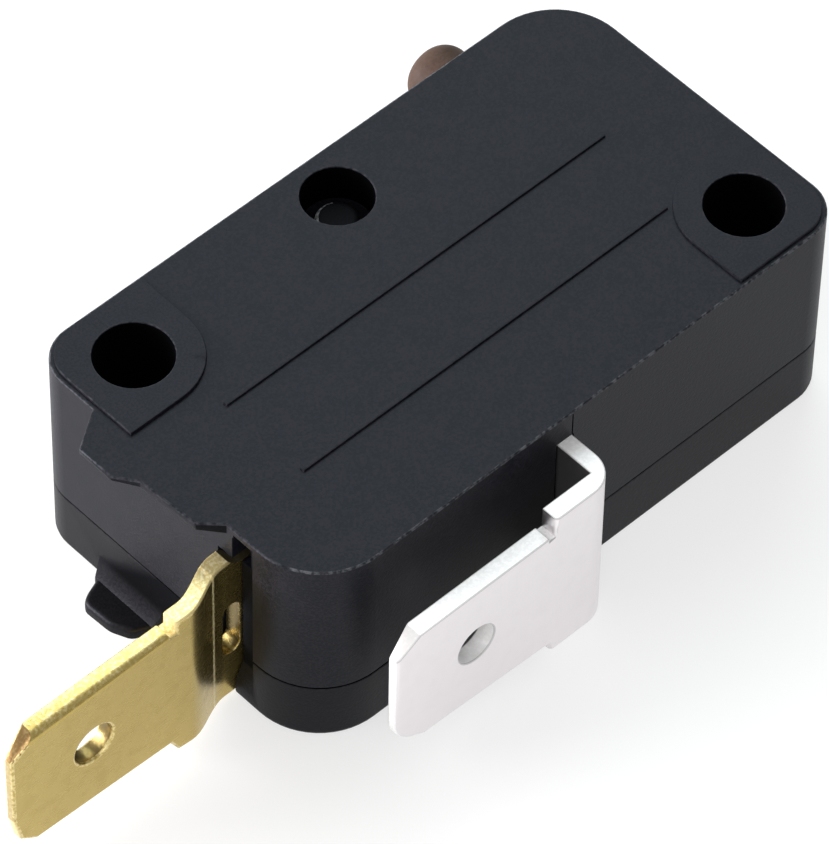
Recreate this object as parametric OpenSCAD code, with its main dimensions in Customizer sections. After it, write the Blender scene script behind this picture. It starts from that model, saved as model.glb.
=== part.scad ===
// Snap-action door switch with a brass end terminal and a plated terminal under the body.
// The origin lies midway between the two mounting holes, on the back of the cover.
// X runs along the body away from the end terminal, Y towards the plunger,
// Z out through the marked face.

/* [Housing] */
// Length of the body along X
body_l = 27.8; // [27:0.1:29]
// Height of the body along Y
body_h = 15.9; // [15.5:0.1:17]
// Thickness from the back of the cover to the raised pads
body_t = 10.3; // [10.1:0.1:11]
// Height of the raised pads above the marked face
pad_rise = 0.15; // [0.05:0.05:0.3]
// Margin between a raised pad and the edge of the face
pad_margin = 0.2; // [0.05:0.01:0.3]
// Diameter of the raised pad round a mounting hole
pad_d = 5.5; // [5:0.1:6]
// Height of the parting line above the back
split_z = 3; // [2.7:0.1:3.3]
// Radius of the two corners beside the mounting holes
hole_corner_r = 1.8; // [1.4:0.1:2.2]
// Radius of the two other corners
open_corner_r = 3.1; // [2.4:0.1:3.6]
// Thickness of the side walls
wall = 1.2; // [1:0.05:1.3]
// Thickness of the roof under the marked face
roof = 1.3; // [1.1:0.05:1.4]
// Thickness of the cover's floor
floor_t = 1.2; // [1:0.05:1.25]
// Height of the cover's rim above the parting line
rim_h = 0.8; // [0.5:0.1:1]
// Thickness of the cover's rim
rim_t = 0.7; // [0.5:0.05:0.8]

/* [Mounting holes] */
// Diameter of the mounting holes
hole_d = 3.2; // [2.9:0.05:3.4]
// Distance between the mounting holes along X
hole_dx = 22.2; // [22:0.05:22.4]
// Distance between the mounting holes along Y
hole_dy = 10.3; // [10.1:0.05:10.5]
// Diameter of the boss round a mounting hole
boss_d = 5.2; // [4.8:0.1:5.4]

/* [Locating post] */
// Distance of the post from the top edge of the body
post_edge = 2.12; // [2:0.02:2.3]
// Diameter of the cover's locating post
post_d = 1.8; // [1.5:0.1:2]
// Diameter of the counterbore round the end of the post
counterbore_d = 2.95; // [2.7:0.05:3.2]
// Depth of the counterbore below the marked face
counterbore_depth = 1.85; // [1.5:0.05:2.2]
// Depth of the post's end below the marked face
post_depth = 1.25; // [0.9:0.05:1.4]
// Diameter of the boss that takes the post
post_boss_d = 4.2; // [3.8:0.1:4.4]

/* [Raised rules] */
// Width of the two raised rules on the face
rule_w = 0.22; // [0.1:0.02:0.4]
// Height of the raised rules
rule_h = 0.1; // [0.05:0.05:0.2]
// Height along Y of the upper rule
rule_top_y = 1.12; // [0.9:0.02:1.4]
// Height along Y of the lower rule
rule_low_y = -3.13; // [-3.4:0.02:-2.9]
// Distance of the rules' left ends from the end wall
rule_start = 3.78; // [3.5:0.02:4.2]
// Length of the upper rule
rule_top_l = 19.8; // [18:0.1:20]
// Length of the lower rule
rule_low_l = 19; // [18:0.1:20]

/* [End lip and tab] */
// Reach of the lip beyond the end wall, at the empty terminal place
lip_reach = 1.65; // [1:0.05:2]
// Reach of the lip beside the brass terminal
lip_low_reach = 1; // [0.8:0.05:1.2]
// Reach of the lip at its end beside the brass terminal
lip_end_reach = 0.83; // [0.5:0.01:1]
// Thickness of the lip's edge
lip_t = 0.25; // [0.15:0.05:0.4]
// Height of the sloping web under the lip at the wall
lip_root = 0.55; // [0.4:0.05:0.8]
// Reach of the cover's end tab beyond the end wall
tab_reach = 1.57; // [1:0.01:1.8]
// Thickness of the cover's end tab
tab_t = 0.5; // [0.4:0.05:0.7]
// Length of the cut corners of the cover's end tab
tab_corner = 0.4; // [0.2:0.05:0.6]
// Height of the slope between the end tab and the wall
tab_slope_h = 1.3; // [1:0.1:1.6]
// Depth of the slope between the end tab and the wall
tab_slope_d = 0.45; // [0.3:0.05:0.6]
// Height along Y of the empty terminal place, where lip and tab are centred
empty_y = 2.35; // [2.2:0.05:2.5]
// Width along Y of the end tab at the wall
tab_w = 3.7; // [3:0.1:4.2]
// Width along Y of the end tab at its end
tab_end_w = 2.3; // [1.8:0.1:3]

/* [Wall beside the terminals] */
// Width along Y of the groove in the end wall beside the brass sheet
groove_w = 1.05; // [0.8:0.05:1.2]
// Depth of that groove
groove_d = 0.4; // [0.2:0.05:0.5]
// Height of the groove's lower end above the back
groove_low = 0.9; // [0.6:0.1:1.2]
// Distance of the groove's upper end from the face
groove_top = 0.3; // [0.2:0.05:0.5]
// Width along Y of the pocket over the brass sheet, at the top of the groove
pocket_w = 0.55; // [0.3:0.05:0.7]
// Depth of that pocket in the end wall
pocket_d = 0.8; // [0.6:0.05:0.9]
// Height of that pocket over the brass sheet's cut corner
pocket_h = 1.7; // [1:0.1:1.8]
// Width of the fine seam in the wall over the plated leg
seam_w = 0.07; // [0.05:0.01:0.12]
// Depth of that seam
seam_d = 0.1; // [0.05:0.01:0.2]
// Distance of the seam's upper end from the face
seam_top = 0.15; // [0.1:0.01:0.3]

/* [Terminals] */
// Thickness of the terminal sheet
sheet_t = 0.8; // [0.7:0.05:0.9]
// Width of a push-on blade
blade_w = 6.35; // [6:0.05:6.6]
// Height of the terminals' middle above the back
term_z = 4.7; // [4.6:0.05:4.8]
// Diameter of the hole in a blade
blade_hole_d = 1.85; // [1.5:0.05:2.2]
// Rise of a blade's lower edge from its shoulder to its tip
blade_taper = 0.3; // [0:0.05:0.4]
// Length of the thinned tip of a blade, at its back
tip_bevel_l = 1.3; // [0.6:0.05:2]
// Depth of the thinning at the tip of a blade
tip_bevel_d = 0.36; // [0.1:0.02:0.44]
// Height of the brass shoulder above the blade
no_shoulder = 0.45; // [0.3:0.05:0.5]
// Depth of the brass shoulder below the blade's tip
no_shoulder_low = 1.02; // [0.6:0.02:1.1]
// Drop of the brass sheet's lower edge from the shoulder to the end wall
no_root_drop = 0.3; // [0.1:0.05:0.35]
// Length of that sloping edge
no_drop_l = 2.4; // [2:0.1:3]
// Length of the ramp down to the lower brass shoulder
no_ramp = 0.4; // [0.2:0.05:0.6]
// Height along Y of the brass sheet's middle, inside the case
no_y = -3.07; // [-3.2:0.01:-2.9]
// Sideways joggle of the brass blade
no_joggle = 0.8; // [0.5:0.05:1]
// Reach of the brass blade beyond the end wall
no_reach = 11.67; // [11:0.01:13]
// Length of the brass blade from its tip to its shoulder
no_blade_l = 8.12; // [7.6:0.01:8.5]
// Distance of the joggle from the end wall
joggle_start = 0.5; // [0.4:0.05:0.8]
// Length of the joggle
joggle_l = 2.4; // [2:0.05:2.6]
// Distance of the hole from the tip of the brass blade
no_hole_x = 3.97; // [3.5:0.01:5]
// Place along X of the plated sheet's middle, where it leaves the body
com_x = -1.1; // [-1.2:0.05:-0.8]
// Distance of the plated blade's outer face below the body
com_drop = 2.55; // [2.2:0.05:3]
// Reach of the plated blade along the body
com_reach = 11.45; // [11:0.05:13]
// Length of the plated blade from its tip to its shoulder
com_blade_l = 8.15; // [8:0.05:9]
// Width of the plated sheet at its bend
com_wide = 8.1; // [7.6:0.1:8.2]
// Outer radius of the plated sheet's bend
com_bend_r = 1.3; // [0.9:0.05:1.5]
// Distance of the hole from the tip of the plated blade
com_hole_x = 4.15; // [4:0.05:5.4]

/* [Plunger] */
// Distance of the plunger from the right end of the body
plunger_end = 4.75; // [4.5:0.05:5]
// Depth of the plunger's middle below the marked face
plunger_depth = 3.4; // [3.2:0.05:3.6]
// Diameter of the plunger's head
plunger_d = 2.85; // [2.6:0.05:3.1]
// Radius of the plunger's rounded end
plunger_edge = 1; // [0.5:0.05:1.2]
// Free height of the plunger above the top of the body
plunger_free = 2.7; // [2.3:0.05:3]
// Travel of the plunger
plunger_travel = 1.7; // [1.4:0.05:1.8]
// Diameter of the plunger's stem
stem_d = 2.4; // [2:0.1:2.6]
// Width of the plunger's flange
flange_w = 4.1; // [3.8:0.1:4.2]
// Thickness of the plunger's flange
flange_t = 2; // [1.5:0.1:2.4]
// Depth of the plunger's flange along Z
flange_d = 3.8; // [3.4:0.1:4]

/* [Mechanism] */
// Thickness of the contact arm
arm_t = 0.4; // [0.3:0.05:0.45]
// Distance of the contacts from the end of the body
contact_end = 4.7; // [4.5:0.05:4.9]
// Open gap between the contacts
contact_gap = 1; // [0.8:0.05:1.1]
// Diameter of the fixed contact
fixed_contact_d = 3.2; // [2.8:0.1:3.6]
// Diameter of the moving contact
moving_contact_d = 3; // [2.6:0.1:3.4]
// Thickness of the moving contact
moving_contact_t = 0.7; // [0.5:0.05:0.8]
// Height along Y of the drive lever's knife edge
lever_y = -3.4; // [-3.6:0.05:-3.2]
// Thickness of the drive lever
lever_t = 0.6; // [0.5:0.05:0.7]
// Height along Y of the lever's face under the plunger
lever_pad_y = 0.55; // [0.45:0.05:0.65]
// Length of the lever's pad on the near side of the plunger
lever_pad_near = 1.5; // [1.2:0.1:1.8]
// Length of the lever's pad on the far side of the plunger
lever_pad_far = 1.2; // [1:0.1:1.4]
// Depth of the lever's pad above the plunger's middle
lever_pad_w = 1.3; // [1:0.1:1.5]
// Depth of the lever below the terminals' middle
lever_low_w = 2.4; // [2.2:0.1:2.6]
// Distance of the lever's spring bar from the plunger along X
hook_dx = 4.65; // [4.4:0.05:4.9]
// Height along Y of the lever's spring bar
hook_y = 0.42; // [0.3:0.02:0.5]
// Diameter of the snap spring's coil
spring_d = 2.4; // [2:0.1:2.6]
// Diameter of the snap spring's wire
wire_d = 0.3; // [0.25:0.05:0.35]
// Turns of the snap spring
spring_turns = 14; // [10:1:16]

/* [Clearances] */
// Gap of sheets, rims and posts in their seats
seat_gap = 0.06; // [0.03:0.01:0.1]
// Gap of the plunger in its bore
plunger_gap = 0.08; // [0.05:0.01:0.12]
// Gap between moving pieces that touch when they work
touch_gap = 0.05; // [0.03:0.01:0.08]
// Gap above the brass sheet in the end wall
slot_gap = 0.1; // [0.06:0.01:0.2]

/* [Hidden] */
$fn = 64;

// Overshoot of a cutter past the face it cuts
cut = 1;
// Overlap of two forms that become one solid
bond = 0.1;

half_l = body_l / 2;
half_h = body_h / 2;
face_z = body_t - pad_rise;
roof_z = face_z - roof;
// Inner faces of the walls
in_x = half_l - wall;
in_y = half_h - wall;
// Ribs of the case stop short of the cover's rim
rib_z = split_z + rim_h + seat_gap;

HOLES = [[-hole_dx / 2, hole_dy / 2], [hole_dx / 2, -hole_dy / 2]];
boss_r = boss_d / 2;
post_y = half_h - post_edge;
pad_r = pad_d / 2;

// Lip outline: slopes between its steps
lip_slope = 1.1;
lip_half = 0.9;
lip_low_end = -2.28;
lip_top_y = empty_y + lip_half;
lip_mid_y = empty_y - lip_half;

contact_x = -half_l + contact_end;

// Brass terminal
no_front = no_y - sheet_t / 2;
no_back = no_y + sheet_t / 2;
no_tip_x = -half_l - no_reach;
no_shoulder_x = no_tip_x + no_blade_l;
no_joggle_x = -half_l - joggle_start;
// Margin of the brass sheet beyond its contact
no_margin = 0.2;
no_inner_end = contact_x + fixed_contact_d / 2 + no_margin;
no_inner_w = 5;
blade_low = term_z - blade_w / 2;
blade_high = term_z + blade_w / 2;
no_root_low = blade_low - no_shoulder_low;
no_root_base = no_root_low - no_root_drop;
no_root_high = blade_high + no_shoulder;
// Slot in the brass sheet at the wall
no_slot_w = 0.85;
no_slot_h = 2.95;
no_slot_z = 4.2;
no_slot_out = 0.115;
no_slot_x = -half_l - no_slot_out;
// Sloping corner of the brass sheet where it enters the wall: along it, across it
no_root_cut = [0.5, 0.35];
no_root_out = 0.2;
no_root_x = -half_l - no_root_out;
// Cut-back beside a shoulder
relief = 0.3;
// Corners at the tip of the brass blade: along the blade, across it
no_tip_top = [1.15, 0.8];
no_tip_low = [1, 1.9];
// Share of the lower corner at its middle point
tip_belly = 0.3;

// Plated terminal
com_left = com_x - sheet_t / 2;
com_right = com_x + sheet_t / 2;
com_face_y = -half_h - com_drop;
com_tip_x = com_right - com_reach;
com_shoulder_x = com_tip_x + com_blade_l;
com_tip_top = [1.2, 0.7];
com_tip_r = 1.8;
com_inner_w = 6;
com_top_y = 1.2;
// Room round the spring in the plated sheet
spring_room = 0.4;
com_window_w = spring_d + 2 * spring_room;
com_window_y = -1.7;
notch_d = 0.3;
notch_h = 0.7;
rib_t = 1.2;
rib_h = 1.6;
com_rib_y = -in_y + rib_h;

// Knife edges rest just off the bottom of their notches
arm_x = com_left + notch_d - touch_gap;
lever_x = com_right - notch_d + touch_gap;

// Contact arm
arm_end = 2.1;
arm_tip = contact_x - arm_end;
arm_w = 4;
arm_fork_w = 6;
arm_taper = 0.45;
arm_bar_x = -5;
arm_bar_w = 0.7;
arm_eye_w = 0.9;
arm_eye_h = 0.8;
// Web between the arm's eye and the step to its fork
arm_web = 0.4;
stop_x = contact_x - moving_contact_d / 2 - touch_gap;
shank_d = 1.5;
tail_t = 0.3;
tail_d = 2.1;
shank_gap = 0.02;
fixed_contact_t = -arm_t / 2 - moving_contact_t - contact_gap - no_back;
contact_dome = 8;

// Plunger
plunger_x = half_l - plunger_end;
plunger_z = face_z - plunger_depth;
plunger_tip = half_h + plunger_free;
plunger_r = plunger_d / 2;
flange_top = in_y - touch_gap;
stem_end = lever_pad_y + touch_gap;
guide_gap = 0.15;
guide_t = 0.8;
guide_y = 1.8;

// Drive lever
lever_end = plunger_x + lever_pad_far;
lever_knee = plunger_x - lever_pad_near;
lever_heel = 0.9;
lever_low_z = term_z - lever_low_w;
lever_high_z = plunger_z + lever_pad_w;
// The pad slopes by half of the lever's turn
lever_turn = plunger_travel / (plunger_x - lever_x) * 180 / PI;
lever_pad_slope = lever_turn / 2;
hook_x = plunger_x - hook_dx;
hook_w = 2.4;
hook_eye_w = 1.2;
hook_bar_h = 0.44;
hook_eye_h = 1.05;

// Snap spring, with half a turn bent up as a hook at each end
coil_r = (spring_d - wire_d) / 2;
spring_from = [arm_bar_x - arm_bar_w / 2 - touch_gap + coil_r - wire_d / 2, 0];
spring_to = [hook_x + lever_t / 2 + touch_gap - coil_r + wire_d / 2, hook_y];
wire_sides = 8;
turn_steps = 14;

function pad_top(x) = lever_pad_y + (x - plunger_x) * tan(lever_pad_slope);
function ease(t) = t * t * (3 - 2 * t);
// Points of a blade's thinned tip round its middle line, from the front to the back
function blade_tip(tip, y) = [
  [tip, y - sheet_t / 2],
  [tip, y + sheet_t / 2 - tip_bevel_d],
  [tip + tip_bevel_l, y + sheet_t / 2]
];
// Middle line of the brass sheet, from inside the case to the tip
function no_line(x) = no_y - no_joggle * ease(min(1, max(0, (no_joggle_x - x) / joggle_l)));
JOGGLE_XS = [for (i = [0:10]) no_joggle_x - joggle_l * i / 10];
NO_XS = concat([no_inner_end], JOGGLE_XS);

// Square corner less its arc, for a corner turned by angle
module corner_off(x, y, angle, r)
  translate([x, y]) rotate(angle) difference() {
    translate([-cut, -cut]) square(r + cut);
    translate([r, r]) circle(r);
  }

// Outline of the body, drawn in by inset all round
module outline(inset = 0) {
  hl = half_l - inset;
  hh = half_h - inset;
  open_r = max(open_corner_r - inset, 0.4);
  hole_r = max(hole_corner_r - inset, 0.4);
  difference() {
    square([2 * hl, 2 * hh], center = true);
    corner_off(-hl, -hh, 0, open_r);
    corner_off(hl, -hh, 90, hole_r);
    corner_off(hl, hh, 180, open_r);
    corner_off(-hl, hh, 270, hole_r);
  }
}

module slab(z0, z1)
  translate([0, 0, z0]) linear_extrude(z1 - z0) children();

// Block between two corners
module block(low, high)
  translate(low) cube(high - low);

// Extrudes a shape drawn in X and Z along Y, between y0 and y1
module across(y0, y1)
  translate([0, y1, 0]) rotate([90, 0, 0]) linear_extrude(y1 - y0) children();

// Raised pad in the corner beside a mounting hole
module pad_shape()
  intersection() {
    outline(pad_margin);
    for (s = [-1, 1]) {
      hole = [s * hole_dx / 2, -s * hole_dy / 2];
      translate(hole) circle(pad_r);
      translate(hole) rotate(s < 0 ? 0 : 180) translate([-pad_d, -pad_r]) square([pad_d, 2 * pad_d]);
      translate(hole) rotate(s < 0 ? 0 : 180) translate([-pad_d, 0]) square([pad_d + pad_r, 2 * pad_d]);
    }
  }

// Two plain raised rules along the face
module rule_shape() {
  translate([-half_l + rule_start, rule_top_y - rule_w / 2]) square([rule_top_l, rule_w]);
  translate([-half_l + rule_start, rule_low_y - rule_w / 2]) square([rule_low_l, rule_w]);
}

module mount_bores()
  for (h = HOLES)
    translate([h.x, h.y, -cut]) cylinder(d = hole_d, h = body_t + 2 * cut);

module lip_shape()
  polygon([
    [-half_l + bond, lip_top_y + lip_slope + bond * lip_slope / lip_reach],
    [-half_l - lip_reach, lip_top_y],
    [-half_l - lip_reach, lip_mid_y],
    [-half_l - lip_low_reach, lip_mid_y - lip_half],
    [-half_l - lip_end_reach, lip_low_end],
    [-half_l + bond, lip_low_end - lip_end_reach - bond]
  ]);

// Thin stepped lip of the face beyond the end wall, on a sloping web
module end_lip()
  intersection() {
    slab(face_z - lip_root, face_z) lip_shape();
    across(-half_h, half_h) polygon([
      [-half_l + bond, face_z - lip_root],
      [-half_l + bond, face_z],
      [-half_l - lip_reach, face_z],
      [-half_l - lip_reach, face_z - lip_t],
      [-half_l, face_z - lip_root]
    ]);
  }

// Bosses and ribs inside the case
module case_inside()
  intersection() {
    slab(split_z, face_z) outline(wall / 2);
    union() {
      for (h = HOLES)
        translate([h.x, h.y, split_z]) cylinder(r = boss_r, h = roof_z - split_z + bond);
      translate([0, post_y, split_z]) cylinder(d = post_boss_d, h = roof_z - split_z + bond);
      // Stop that the contact arm rests on
      block([-half_l, arm_t / 2 + touch_gap, rib_z], [stop_x, HOLES[0].y - boss_r + bond, roof_z + bond]);
      // Seat under the brass sheet
      block([-half_l, no_front - seat_gap - rib_t, rib_z], [stop_x, no_front - seat_gap, roof_z + bond]);
      // Ribs on both sides of the plated sheet
      for (x = [com_left - seat_gap - rib_t, com_right + seat_gap])
        block([x, -half_h, rib_z], [x + rib_t, com_rib_y, roof_z + bond]);
      // Guides on both sides of the plunger's flange
      for (s = [-1, 1])
        translate([plunger_x + s * (flange_w / 2 + guide_gap + guide_t / 2), 0, 0])
          block([-guide_t / 2, guide_y, rib_z], [guide_t / 2, half_h, roof_z + bond]);
    }
  }

// Groove in the end wall beside the brass sheet
module side_groove()
  block([-half_l - cut, no_front - groove_w, groove_low],
    [-half_l + groove_d, no_front, face_z - groove_top]);

// Pocket at the top of that groove, over the sheet's cut corner
module top_pocket()
  block([-half_l - cut, no_front - pocket_w, no_root_high - no_root_cut.y],
    [-half_l + pocket_d, no_front + seat_gap, no_root_high - no_root_cut.y + pocket_h]);

// Fine seam in the wall over the plated leg
module leg_seam()
  block([com_right - seam_w, -half_h - cut, term_z],
    [com_right, -half_h + seam_d, face_z - seam_top]);

// Room for the plunger's flange, also where it meets the inner corner
module flange_room()
  translate([plunger_x, 0, 0])
    block([-flange_w / 2 - guide_gap, guide_y, split_z - cut],
      [flange_w / 2 + guide_gap, in_y, plunger_z + flange_d / 2 + guide_gap]);

module case() color("#2f3138") difference() {
  union() {
    difference() {
      slab(split_z, face_z) outline();
      slab(split_z - cut, roof_z) outline(wall);
    }
    slab(face_z - bond, body_t) pad_shape();
    slab(face_z - bond, face_z + rule_h) rule_shape();
    end_lip();
    case_inside();
  }
  mount_bores();
  translate([0, post_y, split_z - cut]) cylinder(d = post_d + 2 * seat_gap, h = face_z - split_z);
  translate([0, post_y, face_z - counterbore_depth])
    cylinder(d = counterbore_d, h = counterbore_depth + cut);
  block([-half_l - cut, no_front - seat_gap, split_z - cut],
    [-in_x + bond, no_back + seat_gap, no_root_high + slot_gap]);
  block([com_left - seat_gap, -half_h - cut, split_z - cut],
    [com_right + seat_gap, -in_y + bond, term_z + com_wide / 2 + seat_gap]);
  translate([plunger_x, half_h + cut, plunger_z]) rotate([90, 0, 0])
    cylinder(r = plunger_r + plunger_gap, h = wall + cut + bond);
  flange_room();
  side_groove();
  top_pocket();
  leg_seam();
}

// Tab of the cover at the empty terminal place, with its slope to the wall
module end_tab() {
  y0 = empty_y - tab_w / 2;
  y1 = empty_y + tab_w / 2;
  tip = -half_l - tab_reach;
  half = tab_end_w / 2;
  slab(0, tab_t) polygon([
    [-half_l + bond, y0],
    [-half_l, y0],
    [tip + tab_corner, empty_y - half],
    [tip, empty_y - half + tab_corner],
    [tip, empty_y + half - tab_corner],
    [tip + tab_corner, empty_y + half],
    [-half_l, y1],
    [-half_l + bond, y1]
  ]);
  intersection() {
    slab(0, tab_slope_h) polygon([
      [-half_l + bond, y0],
      [-half_l, y0],
      [tip, empty_y - half],
      [tip, empty_y + half],
      [-half_l, y1],
      [-half_l + bond, y1]
    ]);
    across(y0, y1) polygon([
      [-half_l + bond, 0],
      [-half_l - tab_slope_d, 0],
      [-half_l - tab_slope_d, tab_t],
      [-half_l, tab_slope_h],
      [-half_l + bond, tab_slope_h]
    ]);
  }
}

// Rim that locates the cover inside the case
module rim_shape()
  difference() {
    outline(wall + seat_gap);
    outline(wall + seat_gap + rim_t);
    for (h = HOLES)
      translate(h) circle(boss_r + seat_gap);
    translate([0, post_y]) circle(d = post_boss_d + 2 * seat_gap);
    translate([-half_l, no_front - rim_t / 2]) square([half_l / 2, sheet_t + rim_t]);
    translate([com_left - rim_t / 2, -half_h]) square([sheet_t + rim_t, half_h / 2]);
  }

module cover() color("#2b2d33") difference() {
  union() {
    difference() {
      slab(0, split_z) outline();
      slab(floor_t, split_z + cut) outline(wall);
    }
    intersection() {
      slab(0, split_z) outline(wall / 2);
      for (h = HOLES)
        translate(h) cylinder(r = boss_r, h = split_z);
    }
    slab(floor_t - bond, split_z + rim_h) rim_shape();
    translate([0, post_y, floor_t - bond]) cylinder(d = post_boss_d, h = split_z - floor_t + bond);
    translate([0, post_y, floor_t]) cylinder(d = post_d, h = face_z - post_depth - floor_t);
    end_tab();
  }
  mount_bores();
  block([-half_l - cut, no_front - seat_gap, -cut],
    [-in_x + bond, no_back + seat_gap, split_z + cut]);
  block([com_left - seat_gap, -half_h - cut, term_z - com_wide / 2 - seat_gap],
    [com_right + seat_gap, -in_y + bond, split_z + cut]);
  side_groove();
}

// Half section of the plunger's head, with its rounded edge
module head_shape(h) {
  square([plunger_r, h - plunger_edge]);
  square([plunger_r - plunger_edge, h]);
  intersection() {
    translate([plunger_r - plunger_edge, h - plunger_edge]) circle(plunger_edge);
    square([plunger_r, h]);
  }
}

module plunger() color("#6b524c")
  translate([plunger_x, 0, plunger_z]) rotate([-90, 0, 0]) {
    stem_l = flange_top - flange_t - stem_end - stem_d / 2 + bond;
    translate([0, 0, flange_top - bond]) rotate_extrude() head_shape(plunger_tip - flange_top + bond);
    translate([-flange_w / 2, -flange_d / 2, flange_top - flange_t])
      cube([flange_w, flange_d, flange_t]);
    translate([0, 0, stem_end + stem_d / 2]) cylinder(d = stem_d, h = stem_l);
    translate([0, 0, stem_end + stem_d / 2]) sphere(stem_d / 2);
  }

// Front view of the brass terminal, in X and Z
module no_shape()
  difference() {
    union() {
      polygon([
        [no_tip_x, blade_low + no_tip_low.y],
        [no_tip_x + no_tip_low.x * tip_belly, blade_low + no_tip_low.y * tip_belly],
        [no_tip_x + no_tip_low.x, blade_low],
        [no_shoulder_x - no_ramp, blade_low - blade_taper],
        [no_shoulder_x, no_root_low],
        [no_shoulder_x + bond, no_root_low],
        [no_shoulder_x + bond, blade_high],
        [no_tip_x + no_tip_top.x, blade_high],
        [no_tip_x, blade_high - no_tip_top.y]
      ]);
      polygon([
        [no_shoulder_x, no_root_low],
        [no_shoulder_x + no_drop_l, no_root_base],
        [-in_x, no_root_base],
        [-in_x, no_root_high - no_root_cut.y],
        [no_root_x + no_root_cut.x, no_root_high - no_root_cut.y],
        [no_root_x, no_root_high],
        [no_shoulder_x, no_root_high]
      ]);
      translate([-half_l, term_z - no_inner_w / 2]) square([no_inner_end + half_l, no_inner_w]);
    }
    translate([no_tip_x + no_hole_x, term_z]) circle(d = blade_hole_d);
    translate([no_shoulder_x - relief, blade_high - relief / 2]) square([relief, relief]);
    for (z = [-1, 1] * (no_slot_h - no_slot_w) / 2)
      translate([no_slot_x, no_slot_z + z]) circle(d = no_slot_w);
    translate([no_slot_x - no_slot_w / 2, no_slot_z - (no_slot_h - no_slot_w) / 2])
      square([no_slot_w, no_slot_h - no_slot_w]);
    translate([contact_x, term_z]) circle(d = shank_d + 2 * shank_gap);
  }

module no_terminal() color("#b79f60") intersection() {
  slab(0, face_z) polygon(concat(
    [for (x = NO_XS) [x, no_line(x) - sheet_t / 2]],
    blade_tip(no_tip_x, no_line(no_tip_x)),
    [for (i = [len(NO_XS) - 1:-1:0]) [NO_XS[i], no_line(NO_XS[i]) + sheet_t / 2]]
  ));
  across(-half_h, half_h) no_shape();
}

// Front view of the plated blade and its bend, in X and Z
module com_shape()
  difference() {
    union() {
      polygon([
        [com_tip_x, blade_low + com_tip_r],
        [com_tip_x + com_tip_r, blade_low + com_tip_r],
        [com_tip_x + com_tip_r, blade_low],
        [com_shoulder_x, blade_low - blade_taper],
        [com_shoulder_x + bond, blade_low - blade_taper],
        [com_shoulder_x + bond, blade_high],
        [com_tip_x + com_tip_top.x, blade_high],
        [com_tip_x, blade_high - com_tip_top.y]
      ]);
      translate([com_tip_x + com_tip_r, blade_low + com_tip_r]) circle(com_tip_r);
      translate([com_shoulder_x, term_z - com_wide / 2])
        square([com_right - com_shoulder_x, com_wide]);
    }
    translate([com_tip_x + com_hole_x, term_z]) circle(d = blade_hole_d);
    translate([com_shoulder_x - relief, blade_high - relief / 2]) square([relief, relief]);
  }

// Plan of the plated blade, its bend and the leg up to the wall
module com_plan()
  difference() {
    polygon(concat([[com_right, com_face_y]], blade_tip(com_tip_x, com_face_y + sheet_t / 2), [
      [com_left, com_face_y + sheet_t],
      [com_left, -half_h + bond],
      [com_right, -half_h + bond]
    ]));
    corner_off(com_right, com_face_y, 90, com_bend_r);
  }

// Side view of the plated sheet inside the case, in Y and Z
module com_inside_shape()
  difference() {
    union() {
      translate([-half_h, term_z - com_wide / 2]) square([wall, com_wide]);
      translate([-half_h, term_z - com_inner_w / 2]) square([com_top_y + half_h, com_inner_w]);
    }
    translate([com_window_y, term_z - com_window_w / 2])
      square([com_top_y - com_window_y + cut, com_window_w]);
  }

// Notch for a knife edge, cut along Z into the face at x
module notch(x, y, side)
  slab(0, body_t) polygon([
    [x - side * notch_d, y],
    [x + side * bond, y - notch_h / 2],
    [x + side * bond, y + notch_h / 2]
  ]);

module com_terminal() color("#d9d7d6") difference() {
  union() {
    intersection() {
      slab(0, face_z) com_plan();
      across(com_face_y - cut, -half_h + bond) com_shape();
    }
    translate([com_left, 0, 0]) rotate([90, 0, 90]) linear_extrude(sheet_t) com_inside_shape();
  }
  notch(com_left, 0, -1);
  notch(com_right, lever_y, 1);
}

// Contact rivet along Y: a domed head from y0 towards y1, a shank and a tail
module rivet(y0, y1, d, back) {
  up = y1 > y0 ? 1 : -1;
  head = abs(y1 - y0);
  translate([contact_x, y0, term_z]) rotate([-90 * up, 0, 0]) {
    intersection() {
      cylinder(d = d, h = head);
      translate([0, 0, head - contact_dome]) sphere(contact_dome);
    }
    translate([0, 0, -back - tail_t]) cylinder(d = shank_d, h = back + tail_t + bond);
    translate([0, 0, -back - tail_t]) cylinder(d = tail_d, h = tail_t);
  }
}

module fixed_contact() color("#c9c6bf")
  rivet(no_back, no_back + fixed_contact_t, fixed_contact_d, sheet_t);

module moving_contact() color("#c9c6bf")
  rivet(-arm_t / 2, -arm_t / 2 - moving_contact_t, moving_contact_d, arm_t);

// Front view of the contact arm, in X and Z
module arm_shape() {
  fork_from = arm_bar_x - arm_bar_w / 2 - arm_eye_w - arm_web;
  window_from = arm_bar_x + arm_bar_w / 2;
  difference() {
    union() {
      translate([arm_tip, term_z - arm_w / 2]) square([fork_from - arm_tip + bond, arm_w]);
      translate([fork_from, term_z - arm_fork_w / 2]) square([arm_x - fork_from, arm_fork_w]);
    }
    translate([window_from, term_z - com_window_w / 2]) square([arm_x - window_from + cut, com_window_w]);
    translate([arm_bar_x - arm_bar_w / 2 - arm_eye_w, term_z - arm_eye_h / 2]) square([arm_eye_w, arm_eye_h]);
    translate([contact_x, term_z]) circle(d = shank_d + 2 * shank_gap);
  }
}

module contact_arm() color("#c28b52") intersection() {
  slab(0, face_z) polygon([
    [arm_tip, -arm_t / 2],
    [arm_x - arm_taper, -arm_t / 2],
    [arm_x, 0],
    [arm_x - arm_taper, arm_t / 2],
    [arm_tip, arm_t / 2]
  ]);
  across(-arm_t, arm_t) arm_shape();
}

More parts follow.
